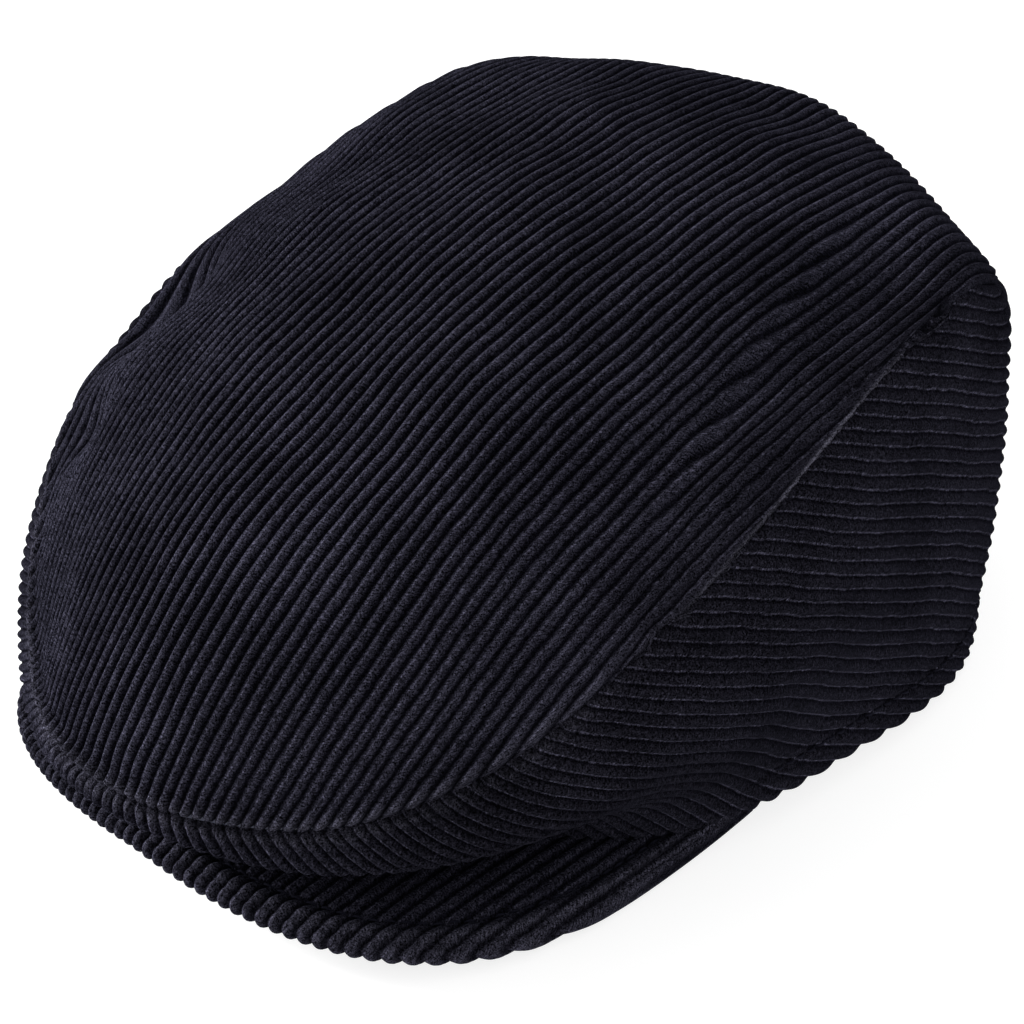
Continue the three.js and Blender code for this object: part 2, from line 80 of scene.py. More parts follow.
BRIM_FRONT = np.array([0, -117.8, 15.0])
BRIM_FRONT_HANDLE = (94.5, -7)
BRIM_END = 0.4  # the brim runs from here on the hem to its mirror image
BRIM_END_HANDLE = np.array([-5, -36, -6.0])
BRIM_END_WIDTH = -3
BRIM_SKEW = 1.8  # how far the brim's middle lies to the left
BRIM_DROP = 1
BRIM_SEAM_RISE = 3  # its top cover turns up inside the hem
BRIM_BOW = 2
BRIM_THICKNESS = 4
BRIM_THINNING = 0.35
BRIM_INNER_TUCK = 5
BRIM_SEAM_RISE_WIDTH = 0.05  # of the way from hem to rim
BRIM_COLUMNS = 1100
BRIM_ROWS = 68
BRIM_RIM_STEPS = 12
BOARD_TOP, BOARD_UNDER = 1.75, 2.5  # depths of the stiff board below the brim's top
BOARD_COLUMNS = slice(90, -90, 4)  # it stops short of the brim's ends
BOARD_ROWS = slice(9, 58, 3)  # and of its edges

# ---- cloth, in millimetres

WALE = 3.1  # distance from rib to rib
RIB_HEIGHT = 1.15
RIB_ROUNDNESS = 0.8  # below 1 gives round ribs with narrow grooves
CREST = 0.85  # share of the rib's height that stands inside the outline
COLUMNS_PER_WALE = 8
TOP_ROWS = 150
ROWS_GATHERED_AT_ENDS = 0.1
SIDE_ROWS = 208
SIDE_FRONT_STEP = 0.5
SIDE_BACK_STEP = 1.15
SIDE_STEP_CHANGE = (0.25, 0.45)  # the step grows between these places round the cap
SIDE_MIDDLE = 0.35  # the ribs are counted along this height of the wall
SIDE_FALL = math.radians(27)  # how steeply a side panel's ribs run down to the back
SIDE_FALL_IN_FRONT = math.radians(28)  # added at the lip
SIDE_FALL_DIP = math.radians(10)  # taken off over the temples
SIDE_FALL_AT_HEM = math.radians(11)  # added near the hem
SIDE_FALL_AT_BRIM_END = math.radians(9)  # added there near the hem
LIP_REACH = 0.14
TEMPLE_PLACE, BRIM_END_PLACE, FALL_REACH = 0.27, 0.39, 0.1
NEAR_HEM = (0.3, 0.8)  # down the wall, where the hem's share of the fall sets in

# The top's ribs drift to the right of the wearer, slowly from a first station and faster later.
RIB_DRIFT = 0.10
DRIFT_START = 60  # ahead of the middle
DRIFT_EARLY_SHARE = 0.35
DRIFT_LENGTH = 130
# Slow sideways wandering of the ribs: amplitude, radians per mm along and across them, phase.
WANDER = [(0.35, 0.085, 0.06, 0), (0.2, 0.17, -0.09, 1.3), (0.07, 0.41, 0.23, 2.2)]
WANDER_FADE = (0.8, 0.95)  # as shares of the way from the middle to the seam
SIDE_WANDER = 0.7  # share of it that the side panels' ribs have
# Sideways steps of the top's ribs in the creases beside the seams. Four numbers of a band say
# where it starts, is full, starts to fade and has gone.
LEFT_KINK = 2.2
LEFT_KINK_STATION, LEFT_KINK_ACROSS = 12, 60
LEFT_KINK_SLANT = 3
LEFT_KINK_LENGTH = 3.2
LEFT_KINK_BAND = (36, 56, 68, 80)
LEFT_KINK_END = (45, 70)
RIGHT_KINK = 5.0
RIGHT_KINK_STATION, RIGHT_KINK_LENGTH = -42, 12
RIGHT_KINK_BAND = (0.48, 0.70, 0.80, 0.98)

# Swellings beside a seam or a rim: how much, how far from it, and how wide.
KNOB = (1.3, 1.7, 1.4)  # the top's ribs end in knobs at the front seam
SEAM_ROLL = (0.4, 1.8, 1.2)  # and the cloth rolls over under them
TOP_SINK = (0.8, 0, 0.7)  # it sinks into the seam
TOP_SINK_IN_FRONT = (0.7, 0, 0.7)
KNOB_SPREAD = (0.7, 0, 0.8)
TOP_TIP = (0.6, 1.2, 1.3)  # lighter pile on the knobs
PALE_SEAM_LINE = (3.0, 0.4, 0.4)  # and along the left seam
SIDE_SINK = (1.1, 0, 1.3)
SIDE_TIP = (0.45, 1.6, 1.4)
BRIM_BEAD = (0.9, 2.4, 1.8)  # the raised rim of the brim
BRIM_RIM_PILE = (0.4, 1.5, 2.5)
BRIM_TIP = (0.3, 1.5, 2.0)
# Painted shade: the darker look of the side panels, given to them, to the top beside the left seam
# and a little to the brim.
SEAM_SHADE_WIDTH = 17  # painted shade beside the left seam, this wide
SEAM_SHADE = 0.8
SEAM_SHADE_ACROSS, SEAM_SHADE_STATIONS = (0, 30), (-70, -40)
FRONT_SEAM = (20, 50)  # the front seam sets in between these stations ahead
RIB_FADE, RIB_FADE_IN_FRONT = 2.2, 0.6  # the top's ribs die away this near the seam
RIB_FADE_START = 0.2
SIDE_RIB_AT_SEAM = 0.3  # share of a side rib's height left in the seam
SIDE_RIB_FADE = 2.2
SIDE_PAINTED_SHADE = (0.1, 0.25)  # painted shade: the side goes from half to fully shaded between these places
BRIM_PAINTED_SHADE = 0.2
BRIM_RIB_SHARE = 0.95  # height of the brim's ribs as a share of the crown's

LIGHT_SEAM = np.array([81, 0, 92])  # the left seam's folded edge is lighter about here
LIGHT_SEAM_REACH = 27
BACK_ROUNDING = 1.0  # how far the cloth rolls over at the back seam
BACK_ROUNDING_WIDTH = 4.5
BACK_STATIONS = (35, 75)
HEM_ROLL = 1.3  # radius of the folded hem
HEM_ROLL_STEPS = 8
HEM_TURN_UP = 7  # height of the cloth turned up inside
HEM_TURN_UP_STEPS = 7
HEM_LIFT = HEM_ROLL + 0.8 * RIB_HEIGHT  # the roll and its ribs stand on the hem's own line
HEM_LIFT_START = 0.7
HEM_CREST_FADE = 0.1

HEM_STITCH_HEIGHT = 7
BRIM_STITCH_MARGIN = 5.5
STITCH_PITCH = 3.4
STITCH_SHARE = 0.72  # of the pitch that a stitch shows
THREAD_RADIUS = 0.32
THREAD_BOW = 1.6  # in radii
THREAD_END = 0.55  # thickness of a stitch's end as a share of its middle's
THREAD_SIDES, THREAD_RINGS = 6, 5
HEM_STITCH_DEPTH, BRIM_STITCH_DEPTH = 0.35, 0.55
STITCH_DENT_WIDTH = 0.9
STITCH_DENT = 0.5
HEM_STITCH_FLATTENS, BRIM_STITCH_FLATTENS = 0.45, 0.5
HEM_STITCH_FADE = (0.37, 0.42)  # they set in between these places, at the brim's end
HEM_PATH_POINTS, HEM_PATH_ROWS, HEM_PATH_TOP = 500, 120, 0.6
HEM_PATH_EVENING, BRIM_PATH_EVENING = 3, 4
STITCH_END = 90  # the brim's stitches stop this many columns before its ends

LINING_DEPTH = 3.8
LINING_EDGE = 4  # the top lining stops this far from the seam
LINING_ENDS = (6, 5)
SIDE_LINING_ENDS, SIDE_LINING_HEIGHTS = (0.002, 0.998), (0.02, 0.93)
SIDE_LINING_COLUMNS, LINING_ROWS = 200, 60
TOP_LINING_COLUMNS, TOP_LINING_ROWS = 110, 120
SIDE_LINING_FULL = (0.15, 0.5)  # the side lining follows the cloth's fullness behind these
SIDE_LINING_IN_FRONT = 0.35
LINING_STRAIGHT_HANDLES = (8, 20)
PLEAT_DEPTH = 0.35
PLEAT_FREQUENCY = 150
PLEAT_PLACE, PLEAT_REACH = 0.95, 0.3
# Ribbons standing in the hem: depth inside it, lift above it, height and belly.
SWEATBAND = (5.6, 3.3, 30, 0.6)
HEM_TAPE = (4.7, 4.5, 13, 0)
SWEATBAND_OVERLAP = 0.01
SWEATBAND_FRONT_COLUMNS, SWEATBAND_BACK_COLUMNS, HEM_TAPE_COLUMNS = 260, 420, 500
BAND_ROWS = 24
TAPE_DEPTH = 2.9
TAPE_HALF_WIDTH = 0.035  # of the outline from front to back
TAPE_HEIGHTS = (0.08, 0.9)
TAPE_COLUMNS = 12
LABEL_DEPTH = 6.6
LABEL_LIFT = 12
LABEL_HEIGHT = 12
LABEL_HALF_WIDTH = 0.041
LABEL_BULGE = 0.5
LABEL_FLAT_ENDS = 0.6
LABEL_COLUMNS, LABEL_ROWS = 24, 16

# Dents where the empty cloth sinks: place, length and width of the dent, its run, its depth.
# A negative depth is a place where it stands fuller.
DENTS = [
    ((-76, -41, 82), 16, 8, (0.1, 1, 0.4), 8.2),
    ((-66, -72, 66), 8, 7, (0.2, 1, 0.9), 3.6),
    ((-67, 38, 104), 18, 9, (0.1, 1, 0.1), -1.8),
    ((63, 14, 104), 34, 5, (0.03, 1, 0.2), 2.6),
    ((84, -44, 66), 20, 4, (0.2, -0.3, 1), 1.4),
    ((90, -26, 62), 22, 4, (0.1, -0.4, 1), 1.5),
    ((86, -58, 52), 18, 4, (0.4, -0.3, 1), 1.1),
    ((8, -120, 38), 8, 6, (1, 0.1, 0), 1.6),
    ((5, 89, 111), 30, 9, (1, 0, 0), -1.3),
    ((61, 66, 108), 22, 10, (1, -0.5, 0), -3.4),
    ((-90, 0, 55), 30, 10, (0, 0.4, 1), 1.6),
    ((60, 100, 45), 30, 12, (0.1, 0, 1), 1.6),
    ((-50, 108, 50), 30, 12, (0, 0.1, 1), 1.8),
]
INNER_POINT_HEIGHT = 35  # dents sink towards the cap's middle line at this height
RIPPLED_HEIGHTS = (12, 42)
# Slow waves all over the cloth: amplitude, wave vector in radians per mm, and phase.
WAVES = [
    (0.30, (0.11, 0.05, 0.07), 0.4), (0.25, (-0.06, 0.13, 0.05), 2.1),
    (0.22, (0.19, -0.09, 0.11), 4.0), (0.18, (0.07, 0.21, -0.17), 1.2)]


# ---- curves and surfaces

def smooth(k):
    k = np.clip(k, 0, 1)
    return k * k * (3 - 2 * k)


def bump(distance, width):
    return np.exp(-(distance / width) ** 2)


def rise(value, low, high):
    """0 up to low, 1 from high on, and smooth between them."""
    return smooth((value - low) / (high - low))


def band(value, start, full, fading, end):
    """Rises from start to full, stays 1, and falls from fading to end."""
    return rise(value, start, full) * (1 - rise(value, fading, end))


def beside(edge, swelling):
    """A swelling beside a seam, at each point's distance from the seam."""
    amount, distance, width = swelling
    return amount * bump(edge - distance, width)


def unit(a):
    a = np.asarray(a, float)
    return a / np.maximum(np.linalg.norm(a, axis=-1, keepdims=True), TINY)


def running_total(steps):
    """Sums along the last axis, from 0 on."""
    return np.concatenate([np.zeros(steps.shape[:-1] + (1,)), np.cumsum(steps, -1)], -1)


def distance_along(path):
    return running_total(np.linalg.norm(np.diff(path, axis=0), axis=1))


def half_curve(points, t):
    """Smooth closed curve from one half's points. A negative t is the mirrored half, where a
    point's first coordinate changes sign if it has three."""
    last = len(points) - 1
    t = np.asarray(t, float)
    t = np.where(t > 1, t - 2, t)
    place = np.abs(t) * last
    base = np.floor(place).astype(int)
    u = (place - base)[..., None]

    def control(index):
        k = index % (2 * last)
        mirrored = k > last
        chosen = points[np.where(mirrored, 2 * last - k, k)].copy()
        if points.shape[1] == 3:
            chosen[..., 0] = np.where(mirrored, -chosen[..., 0], chosen[..., 0])
        return chosen

    curve = (control(base - 1) * (1 - u) ** 3
             + control(base) * (3 * u ** 3 - 6 * u ** 2 + 4)
             + control(base + 1) * (-3 * u ** 3 + 3 * u ** 2 + 3 * u + 1)
             + control(base + 2) * u ** 3) / 6
    if points.shape[1] == 3:
        curve[..., 0] = np.where(t < 0, -curve[..., 0], curve[..., 0])
    return curve


def round_cap(start, end, count):
    """Places round the cap. An end above 1 lies past the back."""
    t = np.linspace(start, end, count)
    return np.where(t > 1, t - 2, t)


def cubic(p0, p1, p2, p3, k):
    """Bezier curve from p0 to p3."""
    return p0 * (1 - k) ** 3 + 3 * p1 * k * (1 - k) ** 2 + 3 * p2 * k ** 2 * (1 - k) + p3 * k ** 3


def outward(t):
    """Level direction from the cap's middle towards a place round it."""
    t = np.asarray(t, float)
    return np.stack([np.sin(np.pi * t), -np.cos(np.pi * t), np.zeros_like(t)], -1)


def hem_outward(t):
    step = 1e-3
    along = half_curve(HEM, t + step) - half_curve(HEM, t - step)
    return unit(np.stack([along[..., 1], -along[..., 0], np.zeros_like(along[..., 0])], -1))


def wall(t, v):
    """A point of the side wall."""
    seam, hem = half_curve(SEAM, t), half_curve(HEM, t)
    reach = half_curve(WALL_HANDLES, np.abs(t))
    out = outward(t)
    after_seam = seam + out * reach[..., 0:1] - UP * reach[..., 1:2]
    before_hem = hem + out * reach[..., 2:3] + UP * reach[..., 3:4]
    return cubic(seam, after_seam, before_hem, hem, np.asarray(v)[..., None])


def wall_grid(t, v):
    return wall(t[:, None] * np.ones_like(v), np.ones_like(t)[:, None] * v)


# The crown's sections: along the seam, its half width and height, and the centre line's height.
seam_curve = half_curve(SEAM, np.linspace(0, 1, SEAM_POINTS))
seam_y = np.maximum.accumulate(seam_curve[:, 1])
seam_front, seam_back = seam_curve[0, 1:], seam_curve[-1, 1:]
centre_curve = cubic(seam_front, seam_front + CROWN_FRONT_HANDLE,
                     seam_back + (-CROWN_BACK_HANDLE[0], CROWN_BACK_HANDLE[1]), seam_back,
                     np.linspace(0, 1, CENTRE_POINTS)[:, None])


def top_height(x, y):
    half_width = np.interp(y, seam_y, seam_curve[:, 0])
    seam_height = np.interp(y, seam_y, seam_curve[:, 2])
    centre_height = np.interp(y, centre_curve[:, 0], centre_curve[:, 1])
    across = np.clip(np.abs(x) / np.maximum(half_width, LEAST_WIDTH), 0, 1)
    return seam_height + (centre_height - seam_height) * (1 - across ** CROWN_ARCH_POWER)


# The top panel's ribs lie a constant distance apart, measured along each section of the crown.
stations = np.linspace(seam_curve[0, 1] + STATION_MARGIN, seam_curve[-1, 1] - STATION_MARGIN,
                       STATION_COUNT)
section_share = np.linspace(0, 1, SECTION_POINTS)
section_x = np.interp(stations, seam_y, seam_curve[:, 0])[:, None] * section_share
section_z = top_height(section_x, np.broadcast_to(stations[:, None], section_x.shape))
section_arc = running_total(np.hypot(np.diff(section_x, axis=1), np.diff(section_z, axis=1)))
section_reach = section_arc[:, -1]
x_at_share = np.array([np.interp(section_share * arc[-1], arc, xs)
                       for arc, xs in zip(section_arc, section_x)])


def top_point(across, y):
    """The point that lies a given distance across the crown's section at y."""
    within_last = 1.001
    spacing = stations[1] - stations[0]
    row = np.clip((y - stations[0]) / spacing, 0, STATION_COUNT - within_last)
    i = row.astype(int)
    reach = np.interp(y, stations, section_reach)
    share = np.clip(np.abs(across) / np.maximum(reach, LEAST_WIDTH), 0, 1)
    column = share * (SECTION_POINTS - within_last)
    j = column.astype(int)
    u, w = row - i, column - j
    x = ((x_at_share[i, j] * (1 - w) + x_at_share[i, j + 1] * w) * (1 - u)
         + (x_at_share[i + 1, j] * (1 - w) + x_at_share[i + 1, j + 1] * w) * u)
    x = np.sign(across) * x
    return np.stack([x, y, top_height(x, y)], -1)


def rib_drift(y):
    """How far the ribs have moved sideways by the station y."""
    early = DRIFT_EARLY_SHARE * np.maximum(y + DRIFT_START, 0)
    return RIB_DRIFT * (early + np.maximum(y, 0) ** 2 / DRIFT_LENGTH)


def wander(across, along):
    """Slow sideways wandering of the ribs."""
    return sum(size * np.sin(lengthways * along + crossways * across + phase)
               for size, lengthways, crossways, phase in WANDER)


def kink(across, y):
    """Sideways steps of the ribs where the cloth creases inside the two seams."""
    behind = y - LEFT_KINK_STATION - LEFT_KINK_SLANT * (LEFT_KINK_ACROSS - across)
    step = 0.5 + 0.5 * np.tanh(behind / LEFT_KINK_LENGTH)
    left = LEFT_KINK * step * band(across, *LEFT_KINK_BAND) * (1 - rise(y, *LEFT_KINK_END))
    share = -across / np.interp(y, stations, section_reach)
    right = (RIGHT_KINK * bump(y - RIGHT_KINK_STATION, RIGHT_KINK_LENGTH)
             * band(share, *RIGHT_KINK_BAND))
    loose = 1 - rise(np.abs(share), *WANDER_FADE)
    return left + right + loose * wander(across, y)


def rib_ends(positions):
    """The stations where ribs at these positions meet the seam at the front and at the back."""
    room = section_reach[None] - np.abs(positions[:, None] - rib_drift(stations)[None])
    inside = room > 0
    first = inside.argmax(1)
    last = len(stations) - 1 - inside[:, ::-1].argmax(1)

    def crossing(i, k):
        i, k = np.clip(i, 0, len(stations) - 1), np.clip(k, 0, len(stations) - 1)
        rows = np.arange(len(positions))
        a, b = room[rows, i], room[rows, k]
        share = np.where(a == b, 0, a / np.where(a == b, 1, a - b))
        return stations[i] + (stations[k] - stations[i]) * np.clip(share, 0, 1)

    return crossing(first - 1, first), crossing(last + 1, last)


def grid_normals(points):
    return unit(np.cross(np.gradient(points, axis=0), np.gradient(points, axis=1)))


def distance_to(points, curve):
    """Distance from each point to the nearest of a curve's points, and that one's number."""
    flat = points.reshape(-1, 3)
    distance, nearest = np.empty(len(flat)), np.empty(len(flat), int)
    chunk_size = 8000
    for start in range(0, len(flat), chunk_size):
        part = slice(start, start + chunk_size)
        squares = ((flat[part] ** 2).sum(1)[:, None] + (curve ** 2).sum(1)[None]
                   - 2 * flat[part] @ curve.T)
        nearest[part] = squares.argmin(1)
        distance[part] = np.sqrt(np.maximum(squares.min(1), 0))
    return distance.reshape(points.shape[:-1]), nearest.reshape(points.shape[:-1])


def settle(points):
    """Sink and ripple the crown's cloth where it lies slack."""
    middle = np.stack([points[..., 0] * 0, points[..., 1],
                       np.full(points.shape[:-1], float(INNER_POINT_HEIGHT))], -1)
    ripple = sum(size * np.sin(points @ np.array(wave) + phase) for size, wave, phase in WAVES)
    slack = rise(points[..., 2], *RIPPLED_HEIGHTS)
    moved = points + unit(points - middle) * (ripple * slack)[..., None]
    for place, length, width, run, depth in DENTS:
        place = np.array(place, float)
        offset = points - place
        along = offset @ unit(run)
        aside = np.sqrt(np.maximum((offset ** 2).sum(-1) - along ** 2, 0))
        inwards = unit(np.array([0, place[1], INNER_POINT_HEIGHT]) - place)
        moved = moved + inwards * (depth * bump(along, length) * bump(aside, width))[..., None]
    return moved


def round_back(points, edge):
    """Round the cloth over towards the back seam."""
    middle = points * (0, 1, 0) + UP * INNER_POINT_HEIGHT
    amount = BACK_ROUNDING * bump(edge, BACK_ROUNDING_WIDTH) * rise(points[..., 1], *BACK_STATIONS)
    return points + unit(middle - points) * amount[..., None]


def rib(phase):
    """Height of the pile across a rib, 0 in the groove and 1 on the crest."""
    return np.abs(np.sin(np.pi * phase)) ** RIB_ROUNDNESS


# ---- meshes

def make_object(name, mesh):
    thing = bpy.data.objects.new(name, mesh)
    bpy.context.scene.collection.objects.link(thing)
    return thing


def mesh_from_grid(name, points, flip=False, **attributes):
    """A mesh from a grid of points in millimetres. Attributes hold one number for each point."""
    rows, columns = points.shape[:2]
    index = np.arange(rows * columns).reshape(rows, columns)
    a, b = index[:-1, :-1], index[1:, :-1]
    c, d = index[1:, 1:], index[:-1, 1:]
    quads = np.stack([a, d, c, b] if flip else [a, b, c, d], -1).reshape(-1, 4)
    mesh = bpy.data.meshes.new(name)
    mesh.vertices.add(rows * columns)
    mesh.vertices.foreach_set("co", (points.reshape(-1, 3) * MM).astype(np.float32).ravel())
    mesh.loops.add(quads.size)
    mesh.loops.foreach_set("vertex_index", quads.astype(np.int32).ravel())
    mesh.polygons.add(len(quads))
    mesh.polygons.foreach_set("loop_start", np.arange(0, quads.size, 4, dtype=np.int32))
    mesh.update(calc_edges=True)
    mesh.polygons.foreach_set("use_smooth", np.ones(len(quads), bool))
    for key, values in attributes.items():
        layer = mesh.attributes.new(key, "FLOAT", "POINT")
        spread = np.broadcast_to(values, (rows, columns))
        layer.data.foreach_set("value", spread.astype(np.float32).ravel())
    return make_object(name, mesh)


def tubes(name, starts, ends, normals):
    """Stitches: a short bowed thread from each start to each end, rising along its normal."""
    sides, rings = THREAD_SIDES, THREAD_RINGS
    points, faces = [], []
    for start, end, normal in zip(starts, ends, normals):
        run = unit(end - start)
        side = unit(np.cross(run, unit(normal)))
        top = np.cross(side, run)
        first = len(points)
        for step in np.linspace(0, 1, rings):
            bow = math.sin(math.pi * step)
            rise_here = unit(normal) * (THREAD_RADIUS * THREAD_BOW * bow)
            middle = start + (end - start) * step + rise_here
            swell = THREAD_RADIUS * (THREAD_END + (1 - THREAD_END) * bow)
            for corner in range(sides):
                angle = 2 * math.pi * corner / sides
                points.append(middle + (side * math.cos(angle) + top * math.sin(angle)) * swell)
        for ring in range(rings - 1):
            for corner in range(sides):
                a = first + ring * sides + corner
                b = first + ring * sides + (corner + 1) % sides
                faces.append((a, b, b + sides, a + sides))
        faces.append(tuple(first + corner for corner in range(sides))[::-1])
        faces.append(tuple(first + (rings - 1) * sides + corner for corner in range(sides)))
    mesh = bpy.data.meshes.new(name)
    mesh.from_pydata([tuple(p * MM) for p in points], [], faces)
    mesh.polygons.foreach_set("use_smooth", np.ones(len(faces), bool))
    return make_object(name, mesh)


# ---- crown: top and side panels

SEAM_PLACES = np.linspace(-1, 1, 1000)
BOTH_SEAMS = half_curve(SEAM, SEAM_PLACES)
# How squarely the seam crosses ribs that run from front to back.
CROSSING = np.abs(unit(np.gradient(BOTH_SEAMS, axis=0))[:, 0])


def front_seam_share(points, place):
    """1 where the seam crosses the ribs squarely in front, and 0 along the sides and behind."""
    return CROSSING[place] * rise(-points[..., 1], *FRONT_SEAM)


def top_panel():
    """The crown's top, with its rows of points along the ribs."""
    spare = 1.05
    shortest_rib = 0.05
    wales = int(section_reach.max() * spare / WALE * COLUMNS_PER_WALE) / COLUMNS_PER_WALE
    phase = np.arange(-wales, wales + LEAST_WIDTH, 1 / COLUMNS_PER_WALE)
    room = (section_reach[None] - np.abs(phase[:, None] * WALE - rib_drift(stations)[None])).max(1)
    phase = phase[room > shortest_rib]
    front, back = rib_ends(phase * WALE)
    k = np.linspace(0, 1, TOP_ROWS)
    w = (k - ROWS_GATHERED_AT_ENDS * np.sin(2 * np.pi * k))[None, :]
    ys = front[:, None] * (1 - w) + back[:, None] * w
    across = phase[:, None] * WALE - rib_drift(ys)
    base = top_point(across + kink(across, ys), ys)
    edge, place = distance_to(base, BOTH_SEAMS)
    front_seam = front_seam_share(base, place)
    base = settle(round_back(base, edge))
    normal = grid_normals(base)
    pile = rib(phase)[:, None]
    knob = 1 + front_seam * beside(edge, KNOB)
    fade = RIB_FADE + (RIB_FADE_IN_FRONT - RIB_FADE) * front_seam
    height = pile * knob * smooth((edge + RIB_FADE_START) / fade) - CREST
    sink = beside(edge, TOP_SINK) + front_seam * beside(edge, TOP_SINK_IN_FRONT)
    roll = front_seam * beside(edge, SEAM_ROLL) - sink
    points = base + normal * (RIB_HEIGHT * height + roll)[..., None]
    spread = front_seam * beside(edge, KNOB_SPREAD) * pile
    points = points + outward(SEAM_PLACES)[place] * spread[..., None]
    paler = bump(np.linalg.norm(base - LIGHT_SEAM, axis=-1), LIGHT_SEAM_REACH)
    tip = front_seam * beside(edge, TOP_TIP) * pile + paler * beside(edge, PALE_SEAM_LINE)
    run = running_total(np.linalg.norm(np.diff(base, axis=1), axis=-1))
    # Painted shade on the top beside the left seam.
    seam_shade = (SEAM_SHADE * bump(edge, SEAM_SHADE_WIDTH) * rise(base[..., 0], *SEAM_SHADE_ACROSS)
               * rise(base[..., 1], *SEAM_SHADE_STATIONS))
    return mesh_from_grid("crown_top_cloth", points, wale=phase[:, None], run=run, nap=seam_shade,
                          tip=tip)


def side_stations():
    """Places round the side wall, closer together in front."""
    t = np.linspace(0, 1, SIDE_POINTS)
    measured_height = 0.3
    curve = wall(t, np.full_like(t, measured_height))
    step = SIDE_FRONT_STEP + (SIDE_BACK_STEP - SIDE_FRONT_STEP) * rise(t, *SIDE_STEP_CHANGE)
    speed = np.linalg.norm(np.gradient(curve, axis=0), axis=1) / step
    count = running_total((speed[1:] + speed[:-1]) / 2)
    return np.interp(np.linspace(0, count[-1], int(count[-1])), count, t)


def wale_coordinate(points, t, v):
    """Distance across the ribs, which run down towards the back of a side panel."""
    along_t = np.gradient(points, axis=0)
    along_v = np.gradient(points, axis=1)
    normal = unit(np.cross(along_t, along_v))
    fall = (SIDE_FALL + SIDE_FALL_IN_FRONT * bump(t, LIP_REACH)
            - SIDE_FALL_DIP * bump(t - TEMPLE_PLACE, FALL_REACH))
    near_hem = SIDE_FALL_AT_HEM + SIDE_FALL_AT_BRIM_END * bump(t - BRIM_END_PLACE, FALL_REACH)
    fall = fall[:, None] + near_hem[:, None] * rise(v, *NEAR_HEM)[None, :]
    down_back = np.stack([np.zeros_like(fall), np.cos(fall), -np.sin(fall)], -1)
    run = unit(down_back - normal * (normal * down_back).sum(-1, keepdims=True))
    across = np.cross(run, normal)
    middle = int(SIDE_MIDDLE * points.shape[1])
    along = (along_t[:, middle] * across[:, middle]).sum(-1)
    start = running_total((along[1:] + along[:-1]) / 2)
    up = (along_v * across).sum(-1)
    climb = running_total((up[:, 1:] + up[:, :-1]) / 2)
    return start[:, None] + climb - climb[:, middle:middle + 1]


def lift_hem(grid, v):
    return grid + UP * (HEM_LIFT * rise(v, HEM_LIFT_START, 1))[None, :, None]


def side_wall_grid(t, rows):
    """The side wall with its hem: the cloth turns round a small roll and up inside."""
    v = np.linspace(0, 1, rows)
    base = lift_hem(wall_grid(t, v), v)
    out = hem_outward(t)[:, None]
    foot = base[:, -1:]
    turn = np.linspace(0, np.pi, HEM_ROLL_STEPS + 1)[1:, None]
    roll = foot + out * HEM_ROLL * (np.cos(turn) - 1) - UP * HEM_ROLL * np.sin(turn)
    inside = roll[:, -1:] + UP * np.linspace(0, HEM_TURN_UP, HEM_TURN_UP_STEPS + 1)[1:, None]
    share = np.concatenate([v, np.ones(HEM_ROLL_STEPS + HEM_TURN_UP_STEPS)])
    return np.concatenate([base, roll, inside], 1), share


def side_panel(side):
    """The panel on the left, side 1, or on the right, side -1."""
    t = side_stations()
    base, v = side_wall_grid(t, SIDE_ROWS)
    across = wale_coordinate(base, t, v)
    edge, place = distance_to(base, BOTH_SEAMS)
    front_seam = front_seam_share(base, place)
    run = base[..., 1] * math.cos(SIDE_FALL) - base[..., 2] * math.sin(SIDE_FALL)
    across = across + SIDE_WANDER * wander(across, run)
    pile = rib(across / WALE)
    hem_distance = np.linalg.norm(base - base[:, SIDE_ROWS - 1:SIDE_ROWS], axis=-1)
    if side < 0:
        base = base * (-1, 1, 1)
    base = settle(round_back(base, edge))
    normal = grid_normals(base) * -side
    outside = np.arange(len(v)) < SIDE_ROWS
    stitched = (bump(hem_distance - HEM_STITCH_HEIGHT, STITCH_DENT_WIDTH) * outside
                * rise(t, *HEM_STITCH_FADE)[:, None])
    growth = SIDE_RIB_AT_SEAM + (1 - SIDE_RIB_AT_SEAM) * smooth(edge / SIDE_RIB_FADE)
    height = (pile * growth * (1 - HEM_STITCH_FLATTENS * stitched)
              - CREST * outside * smooth((1 - v) / HEM_CREST_FADE))
    sink = beside(edge, SIDE_SINK) + STITCH_DENT * stitched
    points = base + normal * (RIB_HEIGHT * height - sink)[..., None]
    name = "side_cloth_left" if side > 0 else "side_cloth_right"
    tip = front_seam * beside(edge, SIDE_TIP) * pile
    # Painted shade: the side panels darker than the top, half so at the lip.
    nap = (0.5 + 0.5 * rise(t, *SIDE_PAINTED_SHADE))[:, None]
    return mesh_from_grid(name, points, flip=side > 0, wale=across / WALE, run=run, nap=nap,
                          tip=tip)


# ---- brim

def brim_rim(a):
    """The brim's outer edge, where a runs from -1 at its right end to 1 at its left."""
    end = half_curve(HEM, np.array([BRIM_END]))[0]
    tip = end + outward(BRIM_END) * BRIM_END_WIDTH - UP * BRIM_DROP
    front = np.array([BRIM_FRONT_HANDLE[0], BRIM_FRONT[1], BRIM_FRONT[2] + BRIM_FRONT_HANDLE[1]])
    curve = cubic(BRIM_FRONT, front, tip + BRIM_END_HANDLE, tip, np.abs(a)[:, None])
    curve[:, 0] *= np.where(a < 0, -1, 1)
    curve[:, 0] += BRIM_SKEW * (1 - a ** 2)
    return curve


def brim_inner(a):
    t = a * BRIM_END
    return half_curve(HEM, t) - hem_outward(t) * BRIM_INNER_TUCK - UP * BRIM_DROP


